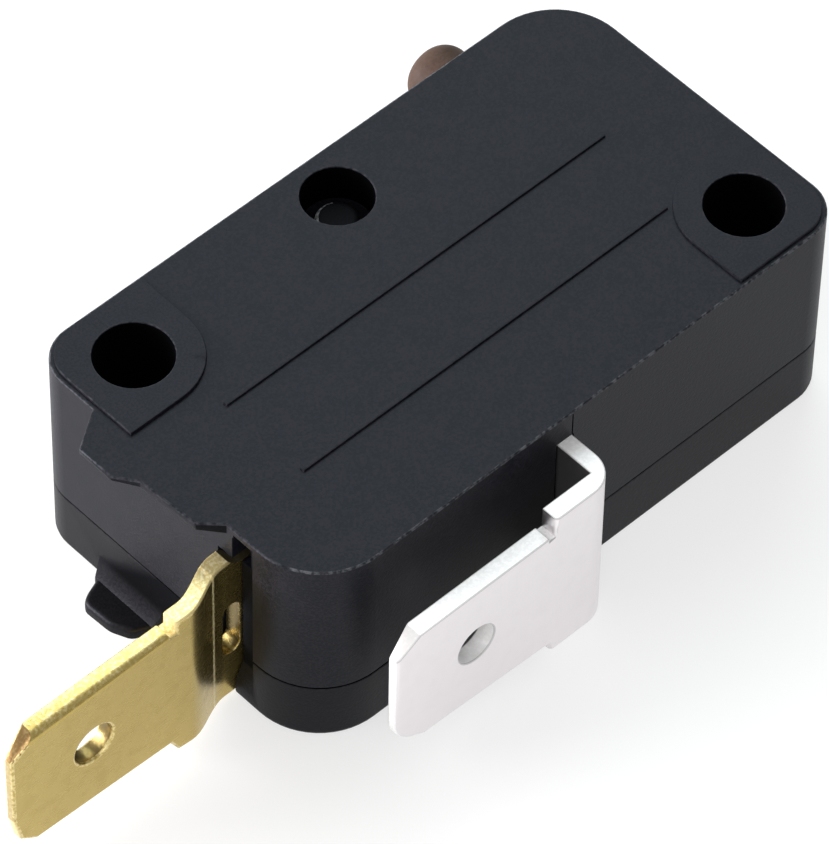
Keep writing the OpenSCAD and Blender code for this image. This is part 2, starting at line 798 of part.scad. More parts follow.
module drive_lever() color("#b9bcc0") {
  heel = [lever_x + lever_heel, lever_y + lever_t / 2];
  knee = [lever_knee, pad_top(lever_knee)];
  rise = (knee.y - heel.y) / (knee.x - heel.x);
  slab(lever_low_z, lever_high_z) polygon([
    [lever_x, lever_y],
    heel,
    knee,
    [lever_end, pad_top(lever_end)],
    [lever_end, pad_top(lever_end) - lever_t],
    [knee.x + lever_t * rise, knee.y - lever_t],
    [heel.x + lever_t * rise, heel.y - lever_t]
  ]);
  // Upright tongue with the bar that the spring hooks over
  foot = heel.y + (hook_x - lever_t / 2 - heel.x) * rise - bond;
  top = hook_y + hook_bar_h / 2;
  difference() {
    block([hook_x - lever_t / 2, foot, term_z - hook_w / 2],
      [hook_x + lever_t / 2, top, term_z + hook_w / 2]);
    block([hook_x - lever_t, top - hook_bar_h - hook_eye_h, term_z - hook_eye_w / 2],
      [hook_x + lever_t, top - hook_bar_h, term_z + hook_eye_w / 2]);
  }
}

// Wire wound about X from x0 to x1, as rings of a tube
module coil(x0, x1, r, turns) {
  steps = turns * turn_steps;
  pitch = (x1 - x0) / turns;
  lead = atan(pitch / (2 * PI * r));
  rings = [for (i = [0:steps]) let (a = 360 * i / turn_steps, x = x0 + (x1 - x0) * i / steps)
    [for (k = [0:wire_sides - 1]) let (
      w = 360 * k / wire_sides,
      out = r + wire_d / 2 * cos(w),
      side = wire_d / 2 * sin(w),
      along = -side * sin(lead))
      [x + side * cos(lead), out * cos(a) - along * sin(a), out * sin(a) + along * cos(a)]]];
  points = [for (ring = rings) each ring];
  sides = [for (i = [0:steps - 1], k = [0:wire_sides - 1])
    let (n = (k + 1) % wire_sides, a = i * wire_sides, b = a + wire_sides)
    [a + n, b + n, b + k, a + k]];
  ends = [
    [for (k = [wire_sides - 1:-1:0]) k],
    [for (k = [0:wire_sides - 1]) steps * wire_sides + k]
  ];
  polyhedron(points, concat(sides, ends), convexity = 10);
}

// Half turn in the X and Y plane, on the side of the coil's end
module spring_hook(turn)
  rotate(turn) rotate_extrude(angle = 180) translate([coil_r, 0]) circle(d = wire_d, $fn = 24);

module snap_spring() color("#a9adb2") {
  run = spring_to - spring_from;
  length = norm(run);
  translate([spring_from.x, spring_from.y, term_z]) rotate(atan2(run.y, run.x)) {
    spring_hook(90);
    translate([length, 0, 0]) spring_hook(-90);
    coil(0, length, coil_r, spring_turns);
  }
}

case();
cover();
plunger();
com_terminal();
no_terminal();
fixed_contact();
contact_arm();
moving_contact();
drive_lever();
snap_spring();
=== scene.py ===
"""Looks of a snap-action door switch: mouldings, stamped blades, button, works and studio."""

import logging
import math
from collections.abc import Callable
from dataclasses import dataclass
from enum import Enum
from typing import Any

import bmesh
import bpy
from mathutils import Matrix, Vector


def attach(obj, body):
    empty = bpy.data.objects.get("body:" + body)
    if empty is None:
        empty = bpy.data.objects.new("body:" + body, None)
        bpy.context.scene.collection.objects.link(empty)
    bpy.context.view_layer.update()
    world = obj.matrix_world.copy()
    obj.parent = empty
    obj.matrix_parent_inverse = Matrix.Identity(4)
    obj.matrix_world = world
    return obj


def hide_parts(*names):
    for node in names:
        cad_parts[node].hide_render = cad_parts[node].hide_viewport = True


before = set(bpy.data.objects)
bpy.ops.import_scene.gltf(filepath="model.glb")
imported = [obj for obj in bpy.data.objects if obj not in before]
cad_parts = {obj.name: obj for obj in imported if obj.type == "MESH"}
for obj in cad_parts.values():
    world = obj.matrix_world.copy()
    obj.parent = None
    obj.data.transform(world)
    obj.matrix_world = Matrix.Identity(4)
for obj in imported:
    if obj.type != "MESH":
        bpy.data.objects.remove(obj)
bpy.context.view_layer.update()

LOG = logging.getLogger("door_switch")
MM = 0.001
# Middle value of a noise
MID = 0.5
# Bounds of the upward part of the normal on a rounded upper rim
ROUNDED = (0.1, 0.98)
# Open ends of bounds
LOW, HIGH = -math.inf, math.inf

Colour = tuple[float, float, float, float]
Pair = tuple[float, float]
Triple = tuple[float, float, float]
Edge = bmesh.types.BMEdge
Face = bmesh.types.BMFace


class Body(Enum):
    """The bodies that the dressed pieces ride on."""

    HOUSING = "housing"
    BUTTON = "button"


class Slot(Enum):
    """The record's material slots of the dressed pieces."""

    CASE = "case_black"
    COVER = "cover_black"
    BUTTON = "plunger_brown"
    PLATED = "tin_plate"
    BRASS = "brass_sheet"


class Mark(Enum):
    """Face marks that a finish reads: rounded edges with wear and painted highlights, sheared
    sides, raw breaks, and painted shade in deep places along with dark seams.
    """

    # Rounded edges: wear with painted highlights on the mouldings, painted highlights and dark
    # lines on the blades
    RIM = "rim"
    CUT = "cut"
    RAW = "raw"
    # Painted shade in bores, grooves, steps, holes and pockets, and dark seams
    SHADE_AND_SEAM = "shade_and_seam"


class Wire:
    """An output socket that joins in arithmetic, each operator adding one Math node."""

    def __init__(self, recipe: "Recipe", socket: bpy.types.NodeSocket) -> None:
        """Keeps the recipe and the socket."""
        self.recipe = recipe
        self.socket = socket

    def _math(self, operation: str, first: Any, second: Any) -> "Wire":
        """Adds one Math node on two terms."""
        return self.recipe.node("ShaderNodeMath", {"operation": operation}, {0: first, 1: second})

    def __add__(self, other: Any) -> "Wire":
        """This value plus another."""
        return self._math("ADD", self, other)

    __radd__ = __add__

    def __sub__(self, other: Any) -> "Wire":
        """This value less another."""
        return self._math("SUBTRACT", self, other)

    def __rsub__(self, other: Any) -> "Wire":
        """Another value less this one."""
        return self._math("SUBTRACT", other, self)

    def __mul__(self, other: Any) -> "Wire":
        """This value times another."""
        return self._math("MULTIPLY", self, other)

    __rmul__ = __mul__


class Recipe:
    """The node tree of one material."""

    # Places of the colour sockets on a Mix node
    MIX_SHARE, MIX_FIRST, MIX_SECOND, MIX_OUT = 0, 6, 7, 2

    def __init__(self, name: str) -> None:
        """Makes the material with its shader and its object coordinates.

        Args:
            name: The material's name.
        """
        self.material = bpy.data.materials.new(name)
        self.material.use_nodes = True
        self.tree = self.material.node_tree
        self.shader = self.tree.nodes["Principled BSDF"]
        self.place = self.node("ShaderNodeTexCoord", out="Object")

    def node(
        self,
        kind: str,
        settings: dict[str, Any] | None = None,
        sockets: dict[int | str, Any] | None = None,
        out: int | str = 0,
    ) -> Wire:
        """Adds any node.

        Args:
            kind: The node's type name.
            settings: The node's own settings, set first.
            sockets: Values or wires for its inputs.
            out: The output to hand back.

        Returns:
            The chosen output as a wire.
        """
        made = self.tree.nodes.new(kind)
        for key, value in (settings or {}).items():
            setattr(made, key, value)
        for key, value in (sockets or {}).items():
            self.feed(made.inputs[key], value)
        return Wire(self, made.outputs[out])

    def feed(self, target: bpy.types.NodeSocket, value: Any) -> None:
        """Links a wire to an input, or sets the input's own value.

        Args:
            target: The input.
            value: The wire or the value.
        """
        if isinstance(value, Wire):
            self.tree.links.new(value.socket, target)
        else:
            target.default_value = value

    def dress(self, sockets: dict[str, Any]) -> bpy.types.Material:
        """Feeds the shader's inputs.

        Args:
            sockets: Values or wires by the shader's input names.

        Returns:
            The finished material.
        """
        for key, value in sockets.items():
            self.feed(self.shader.inputs[key], value)
        return self.material

    def noise(self, size: float, stretch: Triple = (1, 1, 1), detail: float = 2) -> Wire:
        """Cloudy noise.

        Args:
            size: Size of its lumps in millimetres.
            stretch: How much finer the noise is along each axis.
            detail: Number of finer layers.

        Returns:
            The noise, from 0 to 1 round 0.5.
        """
        turned = self.node("ShaderNodeMapping", sockets={"Vector": self.place, "Scale": stretch})
        return self.node(
            "ShaderNodeTexNoise",
            sockets={"Vector": turned, "Scale": 1 / (size * MM), "Detail": detail},
        )

    def step(self, value: Wire, low: float, high: float) -> Wire:
        """Smooth step of a value from 0 at low to 1 at high."""
        sockets = {"Value": value, "From Min": low, "From Max": high}
        return self.node("ShaderNodeMapRange", {"interpolation_type": "SMOOTHSTEP"}, sockets)

    def mix(self, share: Any, first: Any, second: Any) -> Wire:
        """Colour between two colours."""
        terms = {self.MIX_SHARE: share, self.MIX_FIRST: first, self.MIX_SECOND: second}
        return self.node("ShaderNodeMix", {"data_type": "RGBA"}, terms, out=self.MIX_OUT)

    def mark(self, mark: Mark) -> Wire:
        """The share of a face mark at a point."""
        return self.node("ShaderNodeAttribute", {"attribute_name": mark.value}, out="Fac")

    def bump(self, height: Wire, strength: float, depth: float) -> Wire:
        """Small relief of the surface.

        Args:
            height: The relief, from 0 to 1.
            strength: Share of the relief that shows.
            depth: Depth of the full relief in millimetres.

        Returns:
            The changed normal.
        """
        return self.node(
            "ShaderNodeBump",
            sockets={"Height": height, "Strength": strength, "Distance": depth * MM},
        )


@dataclass(frozen=True)
class PaintedShadePatch:
    """Painted shade patch on the end wall with soft edges, sizes in millimetres.

    Attributes:
        share: Share of the painted shade colour in its middle.
        end_x: Places along X where it starts and is full.
        low: Heights where it starts and is full.
        right: Places along Y where it starts and is full.
        top: Heights, at Y of 0, where its slanting upper edge starts and ends.
        slope: Fall of the upper edge along Y.
    """

    share: float
    end_x: Pair
    low: Pair
    right: Pair
    top: Pair
    slope: float

    def cover(self, recipe: Recipe) -> Wire:
        """Share of the painted shade patch at a point.

        Args:
            recipe: The material's recipe.

        Returns:
            The share, from 0 to the full share.
        """
        x, y, z = (
            recipe.node("ShaderNodeSeparateXYZ", sockets={0: recipe.place}, out=axis) * (1 / MM)
            for axis in "XYZ"
        )
        upper = 1 - recipe.step(z + self.slope * y, *self.top)
        lower = recipe.step(z, *self.low)
        sideways = recipe.step(y, *self.right) * recipe.step(x, *self.end_x)
        return self.share * upper * lower * sideways


@dataclass(frozen=True)
class MouldedFinish:
    """Matte moulding compound with a fine grain, paler edges of wear and painted highlight,
    painted shade in deep places, and dark seams.

    Attributes:
        name: Name of the material.
        colour: Colour of the flat surface.
        cloud: Colour of its paler clouds.
        wear_and_painted_light: Colour of the edges' wear, with painted highlights.
        shade_and_seam: Colour of the painted shade in bores, grooves and steps, and of dark seams.
        roughness: Roughness of the flat surface.
        grain: Size of the grain in millimetres.
        depth: Depth of the grain in millimetres.
        gloss: Specular level.
        sheen_tint: Tint of the gloss.
        shade_patch: Painted shade patch on the end wall, if the finish has one.
    """

    name: str
    colour: Colour
    cloud: Colour
    wear_and_painted_light: Colour
    shade_and_seam: Colour = (0.0022, 0.0023, 0.0026, 1)
    roughness: float = 0.44
    grain: float = 0.1
    depth: float = 0.018
    gloss: float = 0.13
    sheen_tint: Colour = (0.8, 0.87, 1, 1)
    shade_patch: PaintedShadePatch | None = None

    # Sizes of clouds and of the specks that break edge wear and painted highlight, in millimetres,
    # and the noise where each starts and is full
    cloud_size: float = 0.9
    cloud_steps: Pair = (0.4, 0.62)
    speck_size: float = 0.16
    speck_steps: Pair = (0.38, 0.66)

    # Share of clouds in the mottle, the rest being grain, and of edge wear and painted highlight
    # between the specks
    cloud_share: float = 0.22
    least_wear: float = 0.1

    # Changes of roughness, height of the clouds where the grain's is 1, strength of the relief
    grain_rough: float = 0.2
    cloud_rough: float = 0.05
    cloud_relief: float = 0.3
    relief: float = 0.5

    def material(self) -> bpy.types.Material:
        """Mixes the finish into a material.

        Returns:
            The material.
        """
        recipe = Recipe(self.name)
        clouds = recipe.noise(self.cloud_size, detail=4)
        grain = recipe.noise(self.grain, detail=3)
        specks = recipe.step(recipe.noise(self.speck_size, detail=3), *self.speck_steps)
        shade_and_seam = recipe.mark(Mark.SHADE_AND_SEAM)
        # Painted shade patch on the end wall, joined to the painted shade
        if self.shade_patch:
            shade_and_seam = shade_and_seam + (1 - shade_and_seam) * self.shade_patch.cover(recipe)
        # Edge wear with painted highlights, broken by specks
        edge_wear_and_light = recipe.mark(Mark.RIM) * (self.least_wear + (1 - self.least_wear) * specks)
        mottle = self.cloud_share * clouds + (1 - self.cloud_share) * grain
        flat = recipe.mix(recipe.step(mottle, *self.cloud_steps), self.colour, self.cloud)
        rough = self.roughness + self.grain_rough * (grain - MID)
        rough = rough + self.cloud_rough * (clouds - MID)
        return recipe.dress(
            {
                "Base Color": recipe.mix(shade_and_seam, recipe.mix(edge_wear_and_light, flat, self.wear_and_painted_light), self.shade_and_seam),
                # As a metal, a place of painted shade or dark seam reflects no more than its own
                # dark colour
                "Metallic": shade_and_seam,
                "Roughness": rough + shade_and_seam * (1 - rough),
                "Specular IOR Level": self.gloss,
                "Specular Tint": self.sheen_tint,
                "Normal": recipe.bump(
                    grain + self.cloud_relief * clouds, self.relief, self.depth
                ),
            }
        )


@dataclass(frozen=True)
class StampedFinish:
    """Rolled sheet with a faint mottle, stamped out with pale rough sheared sides.

    Attributes:
        name: Name of the material.
        face: Colour of the rolled faces.
        stain: Colour of their faint stains.
        cut: Colour of the sheared sides.
        fleck: Colour of the flecks on the sheared sides.
        rim: Colour of the rounded edges, a painted highlight where paler than the faces and a
            painted dark line of reflection where darker.
        raw: Colour of a raw break.
        roughness: Roughness of the rolled faces.
        cut_roughness: Roughness of the sheared sides.
        cut_metal: Metallic share of the sheared sides.
        rolling: How much finer the rolling lines are along each axis.
        metal: Metallic share of the rolled faces.
        rim_breaks: Noise at which the rounded edges start to show, and show in full.
        painted_shade: Colour of the painted shade in holes, slots, pockets and bends.
        crease_x: Place along X of the press tool's pale crease, in millimetres.
    """

    name: str
    face: Colour
    stain: Colour
    cut: Colour
    fleck: Colour
    rim: Colour
    raw: Colour
    roughness: float
    cut_roughness: float
    cut_metal: float
    rolling: Triple
    metal: float = 1.0
    rim_breaks: Pair = (0.38, 0.56)
    painted_shade: Colour = (0.03, 0.024, 0.016, 1)
    crease_x: float | None = None

    # Edge, breaks and least share of the crease, roughness it adds and metallic share it takes
    crease_edge: Pair = (0.03, 0.11)
    crease_breaks: Pair = (0.35, 0.6)
    crease_least: float = 0.35
    crease_rough: float = 0.25
    crease_dull: float = 0.5

    # Sizes of the noises in millimetres, and where stains and flecks start and are full
    stain_size: float = 0.7
    stain_steps: Pair = (0.4, 0.75)
    line_size: float = 0.6
    pit_size: float = 0.08
    chip_size: float = 0.13
    chip_steps: Pair = (0.42, 0.64)

    # How much the chips fray the border of a sheared side, and where it starts and is full
    cut_fray: float = 0.6
    cut_steps: Pair = (0.2, 0.8)

    # Changes of roughness, heights where the chips' is 1, strength and depth of the relief
    face_rough: float = 0.08
    cut_rough: float = 0.3
    line_relief: float = 0.03
    pit_relief: float = 0.07
    relief: float = 0.4
    depth: float = 0.02

    def crease(self, recipe: Recipe, pits: Wire) -> Any:
        """Share of the press tool's crease, broken by pits.

        Args:
            recipe: The material's recipe.
            pits: Fine noise that breaks the line.

        Returns:
            The share, or 0 where the finish has no crease.
        """
        if self.crease_x is None:
            return 0.0
        along = recipe.node("ShaderNodeSeparateXYZ", sockets={0: recipe.place}, out="X")
        away = recipe.node(
            "ShaderNodeMath", {"operation": "ABSOLUTE"}, {0: along * (1 / MM) - self.crease_x}
        )
        line = 1 - recipe.step(away, *self.crease_edge)
        breaks = recipe.step(pits, *self.crease_breaks)
        return line * (self.crease_least + (1 - self.crease_least) * breaks)

    def material(self) -> bpy.types.Material:
        """Mixes the finish into a material.

        Returns:
            The material.
        """
        recipe = Recipe(self.name)
        stains = recipe.noise(self.stain_size, detail=5)
        lines = recipe.noise(self.line_size, self.rolling, detail=3)
        pits = recipe.noise(self.pit_size, detail=2)
        chips = recipe.noise(self.chip_size, detail=4)
        frayed = recipe.mark(Mark.CUT) + self.cut_fray * (chips - MID)
        cut = recipe.step(frayed, *self.cut_steps)
        rim = recipe.mark(Mark.RIM) * recipe.step(chips, *self.rim_breaks)
        crease = self.crease(recipe, pits)
        face = recipe.mix(recipe.step(stains, *self.stain_steps), self.face, self.stain)
        face = recipe.mix(crease, face, self.fleck)
        side = recipe.mix(recipe.step(chips, *self.chip_steps), self.cut, self.fleck)
        side = recipe.mix(recipe.mark(Mark.RAW) * (MID + chips), side, self.raw)
        body = recipe.mix(rim, recipe.mix(cut, face, side), self.rim)
        rolled = self.roughness + self.face_rough * (lines - MID)
        rolled = rolled + self.face_rough * (stains - MID)
        sheared = self.cut_roughness + self.cut_rough * (pits - MID)
        metal = self.metal - (self.metal - self.cut_metal) * cut - self.crease_dull * crease
        height = self.line_relief * lines + self.pit_relief * pits + cut * chips
        return recipe.dress(
            {
                # Painted shade in holes, slots, pockets and on the leg's face
                "Base Color": recipe.mix(recipe.mark(Mark.SHADE_AND_SEAM), body, self.painted_shade),
                "Metallic": metal,
                "Roughness": (1 - cut) * rolled + cut * sheared + self.crease_rough * crease,
                "Normal": recipe.bump(height, self.relief, self.depth),
            }
        )


@dataclass(frozen=True)
class WorksFinish:
    """Plain metal of the works inside, drawn or rolled along one axis.

    Attributes:
        name: Name of the material.
        colour: Colour of the clean metal.
        tarnish: Colour of its tarnish.
        roughness: Roughness of the clean metal.
        drawn: How much finer its lines are along each axis.
    """

    name: str
    colour: Colour
    tarnish: Colour
    roughness: float
    drawn: Triple

    # Sizes of lines and tarnished spots in millimetres, and where a spot starts and is full
    line_size: float = 0.35
    spot_size: float = 0.8
    spot_steps: Pair = (0.45, 0.75)

    # Changes of roughness, strength and depth of the relief
    line_rough: float = 0.2
    spot_rough: float = 0.15
    relief: float = 0.3
    depth: float = 0.008

    def material(self) -> bpy.types.Material:
        """Mixes the finish into a material.

        Returns:
            The material.
        """
        recipe = Recipe(self.name)
        lines = recipe.noise(self.line_size, self.drawn, detail=3)
        spots = recipe.noise(self.spot_size, detail=4)
        tarnished = recipe.step(spots, *self.spot_steps)
        rough = self.roughness + self.line_rough * (lines - MID)
        return recipe.dress(
            {
                "Base Color": recipe.mix(tarnished, self.colour, self.tarnish),
                "Metallic": 1.0,
                "Roughness": rough + self.spot_rough * (spots - MID),
                "Normal": recipe.bump(lines, self.relief, self.depth),
            }
        )


def ridge(edge: Edge) -> float:
    """Angle of an edge in degrees, above 0 where it stands out and below 0 in a corner."""
    return math.degrees(edge.calc_face_angle_signed(0.0))


def middle(edge: Edge) -> Vector:
    """Middle point of an edge."""
    return (edge.verts[0].co + edge.verts[1].co) / 2


def centre(face: Face) -> Vector:
    """Middle point of a face."""
    return face.calc_center_median()


def facing(face: Face) -> tuple[float, ...]:
    """Direction that a face looks in, rounded so that flat faces compare."""
    return tuple(round(part, 2) + 0.0 for part in face.normal)


@dataclass(frozen=True)
class Zone:
    """Bounds that choose faces by their middle, in millimetres, and by their normal.

    Attributes:
        x: Bounds of the middle along X.
        y: Bounds of the middle along Y.
        z: Bounds of the middle along Z.
        normal_x: Bounds of the normal along X.
        normal_y: Bounds of the normal along Y.
        normal_z: Bounds of the normal along Z.
    """

    x: Pair = (LOW, HIGH)
    y: Pair = (LOW, HIGH)
    z: Pair = (LOW, HIGH)
    normal_x: Pair = (LOW, HIGH)
    normal_y: Pair = (LOW, HIGH)
    normal_z: Pair = (LOW, HIGH)

    def __call__(self, face: Face) -> bool:
        """Tests a face.

        Args:
            face: A face on the bench.

        Returns:
            Whether it is within all bounds.
        """
        bounds = (self.x, self.y, self.z, self.normal_x, self.normal_y, self.normal_z)
        values = (*centre(face), *face.normal)
        return all(low < value < high for value, (low, high) in zip(values, bounds))


class Bench:
    """A solid's copy on the work bench, a thousand times its size until it is done.

    Its edges are rounded by about a tenth of a millimetre, which is too near to the smallest
    lengths that Blender's operators tell apart in metres.
    """

    BENCH_SCALE = 1000.0
    MERGE = 0.002
    FLAT = math.radians(1.0)
    SMOOTH = math.radians(38.0)

    def __init__(self, name: str, node: str, flatten: bool = True) -> None:
        """Copies a node's mesh, merges it and joins the triangles of its flat faces.

        Args:
            name: Name of the new piece.
            node: The CAD node that it copies and stands for.
            flatten: Whether triangles in one plane are joined.
        """
        self.node = node
        self.piece = bpy.data.objects.new(name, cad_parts[node].data.copy())
        self.piece.data.name = name
        self.piece.data.materials.clear()
        bpy.context.scene.collection.objects.link(self.piece)
        bpy.ops.object.select_all(action="DESELECT")
        self.piece.select_set(True)
        bpy.context.view_layer.objects.active = self.piece
        for mark in Mark:
            self.piece.data.attributes.new(mark.value, "FLOAT", "FACE")
        bpy.ops.object.mode_set(mode="EDIT")
        bpy.ops.mesh.select_all(action="SELECT")
        bpy.ops.mesh.customdata_custom_splitnormals_clear()
        self._scale(self.BENCH_SCALE)
        bpy.ops.mesh.remove_doubles(threshold=self.MERGE)
        if flatten:
            bpy.ops.mesh.dissolve_limited(angle_limit=self.FLAT)

    def _scale(self, factor: float) -> None:
        """Scales the whole mesh about the origin."""
        bpy.ops.mesh.select_all(action="SELECT")
        bpy.ops.transform.resize(value=(factor,) * 3, center_override=(0, 0, 0))

    def round_edges(
        self,
        wanted: Callable[[Edge], bool],
        width: float,
        rings: int = 2,
        least: float = 40.0,
        wear_and_painted_light: float = 0.0,
        shade_and_seam: float = 0.0,
    ) -> None:
        """Rounds the standing edges that are wanted.

        Args:
            wanted: Test of an edge by its place.
            width: Width of the rounding in millimetres.
            rings: Number of faces across the rounding.
            least: Smallest angle of an edge that is rounded, in degrees.
            wear_and_painted_light: Share of the rim mark, edge wear with painted highlight, that
                the new faces get.
            shade_and_seam: Share of the mark of painted shade and dark seams that the new faces
                get.
        """
        mesh = bmesh.from_edit_mesh(self.piece.data)
        mesh.normal_update()
        bpy.ops.mesh.select_all(action="DESELECT")
        bpy.ops.mesh.select_mode(type="EDGE")
        chosen = [edge for edge in mesh.edges if ridge(edge) > least and wanted(edge)]
        flats = {facing(face) for edge in chosen for face in edge.link_faces}
        for edge in chosen:
            edge.select_set(True)
        bmesh.update_edit_mesh(self.piece.data)
        if not chosen:
            return
        bpy.ops.mesh.bevel(
            offset=width, segments=rings, profile=0.5, affect="EDGES", clamp_overlap=False
        )
        mesh = bmesh.from_edit_mesh(self.piece.data)
        mesh.normal_update()
        layers = {mark: mesh.faces.layers.float[mark.value] for mark in Mark}
        for face in mesh.faces:
            if face.select and facing(face) not in flats:
                face[layers[Mark.RIM]] = wear_and_painted_light
                face[layers[Mark.SHADE_AND_SEAM]] = shade_and_seam
        bmesh.update_edit_mesh(self.piece.data)

    def shift(self, wanted: Callable[[Vector], bool], way: Triple) -> None:
        """Moves the wanted corners of the solid.

        Args:
            wanted: Test of a corner by its place.
            way: The way that they move, in millimetres.
        """
        mesh = bmesh.from_edit_mesh(self.piece.data)
        bpy.ops.mesh.select_all(action="DESELECT")
        bpy.ops.mesh.select_mode(type="VERT")
        chosen = [vert for vert in mesh.verts if wanted(vert.co)]
        for vert in chosen:
            vert.select_set(True)
        bmesh.update_edit_mesh(self.piece.data)
        if chosen:
            bpy.ops.transform.translate(value=way)

    def mark_faces(
        self, mark: Mark, wanted: Callable[[Face], float], full: float = 1.0
    ) -> None:
        """Gives faces a mark.

        Args:
            mark: The mark to set.
            wanted: Test of a face by its place and normal, or its own share, 0 to leave it.
            full: Share of the mark that a face gets where the test gives 1.
        """
        mesh = bmesh.from_edit_mesh(self.piece.data)
        mesh.normal_update()
        layer = mesh.faces.layers.float[mark.value]
        for face in mesh.faces:
            share = full * float(wanted(face))
            if share > 0:
                face[layer] = share
        bmesh.update_edit_mesh(self.piece.data)

    def done(self, body: Body, material: bpy.types.Material) -> None:
        """Brings the piece back to its size and hands it to the frame.

        Args:
            body: The body that it moves with.
            material: Its material.
        """
        bpy.ops.mesh.select_all(action="SELECT")
        bpy.ops.mesh.remove_doubles(threshold=self.MERGE)
        self._scale(1 / self.BENCH_SCALE)
        bpy.ops.object.mode_set(mode="OBJECT")
        bpy.ops.object.shade_smooth_by_angle(angle=self.SMOOTH)
        bpy.ops.object.modifier_add(type="WEIGHTED_NORMAL")
        modifier = self.piece.modifiers[-1]
        modifier.keep_sharp = True
        bpy.ops.object.modifier_apply(modifier=modifier.name)
        self.piece.data.materials.append(material)
        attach(self.piece, body.value)
        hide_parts(self.node)
        LOG.info("%s: %d faces", self.piece.name, len(self.piece.data.polygons))


@dataclass
class Housing:
    """The case and the cover, with rounded moulded edges, sizes in millimetres.

    Values named worn and highlight are shares of the rim mark, edge wear with painted highlights.
    Values named shade are shares of the painted shade mark, and values named deep are its shares
    on the dark seams. Values named flat, lean, way and upright bound or weigh parts of a face's
    normal.
    """

    # Places on the solids
    face_z: float = 10.15
    pad_z: float = 10.3
    rule_z: float = 10.25
    split_z: float = 3.0
    half_l: float = 13.9
    half_h: float = 7.95
    holes: tuple[Pair, ...] = ((-11.1, 5.15), (11.1, -5.15))
    hole_r: float = 1.6
    post_y: float = 5.83
    post_room_r: float = 1.475
    post_low: float = 7.5
    button_x: float = 9.15
    button_reach: float = 1.6
    button_low: float = 4.0
    tab_top: float = 0.5
    tab_x: float = -14.9
    groove_x: float = -13.5
    groove_low: float = 0.9
    rim_reach: float = 0.1
    near: float = 0.02

    # Faces that get a mark: painted shade in the groove and on the end lip's steps, wear and
    # painted highlight on the lip's rim and corner, and the dark parting line, fainter tight by
    # the leg
    groove: Zone = Zone(x=(-13.65, -13.35), y=(-4.6, -3.4), normal_x=(LOW, -0.6))
    lip_step: Zone = Zone(x=(LOW, -13.92), normal_x=(LOW, -0.4), normal_y=(LOW, -0.4))
    lip_rim: Zone = Zone(x=(LOW, -13.52), z=(10.07, HIGH), normal_z=ROUNDED)
    lip_corner: Zone = Zone(x=(LOW, -15.2), y=(2.4, HIGH), normal_z=ROUNDED)
    seam: Zone = Zone(z=(2.91, 2.999), normal_z=(0.6, 0.99))
    tight_seam: Zone = Zone((-3.475, HIGH), (LOW, 0), (2.91, 2.999), normal_z=(0.6, 0.99))
    tight_split: Zone = Zone((-3.475, HIGH), (LOW, 0), (3.001, 3.09), normal_z=(-0.99, -0.05))

    # Widths of the roundings, and the smallest angle rounded on the end tab
    face_edge: float = 0.08
    pad_edge: float = 0.05
    rule_edge: float = 0.04
    lip_edge: float = 0.05
    split_edge: float = 0.09
    post_edge: float = 0.28
    back_edge: float = 0.3
    tab_edge: float = 0.2
    tab_corner: float = 0.16
    tab_angle: float = 15.0

    # Shifts of the cover's corners
    tab_shifts: tuple[tuple[float, float, Triple], ...] = (
        (-15.47, 3.1, (-0.03, 0.22, 0)),
        (-15.07, 3.5, (-0.1, 0.12, 0)),
        (-15.47, 1.6, (0.03, 0.33, 0)),
        (-15.07, 1.2, (0, -0.1, 0)),
    )
    groove_ramp: float = 0.9

    # Bounds on outlines and normals
    wall_share: float = 0.985
    corner_shares: Triple = (0.77, 0.6, 1.72)
    upright: float = 0.2
    post_flat: float = 0.97
    post_way: Pair = (-0.53, 0.85)
    post_lean: float = 0.5

    # Shares of the marks: painted shade, edge wear with painted highlights, and dark seams
    groove_shade: float = 0.45
    step_shade: float = 0.5
    post_end_shade: float = 0.4
    tight_split_deep: float = 0.3
    tight_seam_deep: float = 0.2
    hole_worn: float = 0.14
    post_room_worn: float = 0.12
    face_worn: float = 0.4
    lip_worn: float = 0.13
    # Painted highlight on the end lip's corner
    corner_highlight: float = 0.7
    split_worn: float = 0.03

    case_finish: MouldedFinish = MouldedFinish(
        "case_compound",
        colour=(0.0034, 0.0044, 0.0066, 1),
        cloud=(0.0118, 0.0102, 0.0138, 1),
        wear_and_painted_light=(0.17, 0.175, 0.19, 1),
    )
    cover_finish: MouldedFinish = MouldedFinish(
        "cover_compound",
        colour=(0.0042, 0.0042, 0.0054, 1),
        cloud=(0.0082, 0.0072, 0.0088, 1),
        wear_and_painted_light=(0.3, 0.3, 0.31, 1),
        gloss=0.12,
        # Painted shade on the end wall above the tab
        shade_patch=PaintedShadePatch(
            share=0.75,
            end_x=(-13.6, -13.7),
            low=(0.95, 1.35),
            right=(-0.9, -0.2),
            top=(3.4, 4.3),
            slope=0.67,
        ),
    )

    def at_z(self, edge: Edge, z: float) -> bool:
        """Whether a whole edge lies at one height."""
        return all(abs(vert.co.z - z) < self.near for vert in edge.verts)

    def on_wall(self, edge: Edge) -> bool:
        """Whether an edge lies on the outer wall of the body.

        Args:
            edge: An edge of the case or the cover.

        Returns:
            True on the wall, its corners included.
        """
        spot = middle(edge)
        reach = Vector((abs(spot.x) / self.half_l, abs(spot.y) / self.half_h))
        if reach.x > 1 + self.near / self.half_l:
            return False
        along, across, both = self.corner_shares
        corner = reach.x > along and reach.y > across and sum(reach) > both
        return corner or max(reach) > self.wall_share

    def on_split(self, edge: Edge) -> bool:
        """Whether an edge is on the parting line of the outer wall."""
        return self.at_z(edge, self.split_z) and self.on_wall(edge)

    def on_lip(self, edge: Edge) -> bool:
        """Whether an edge belongs to the end lip below the face."""
        spot = middle(edge)
        return spot.x < -self.half_l - self.near and spot.z < self.face_z - self.near

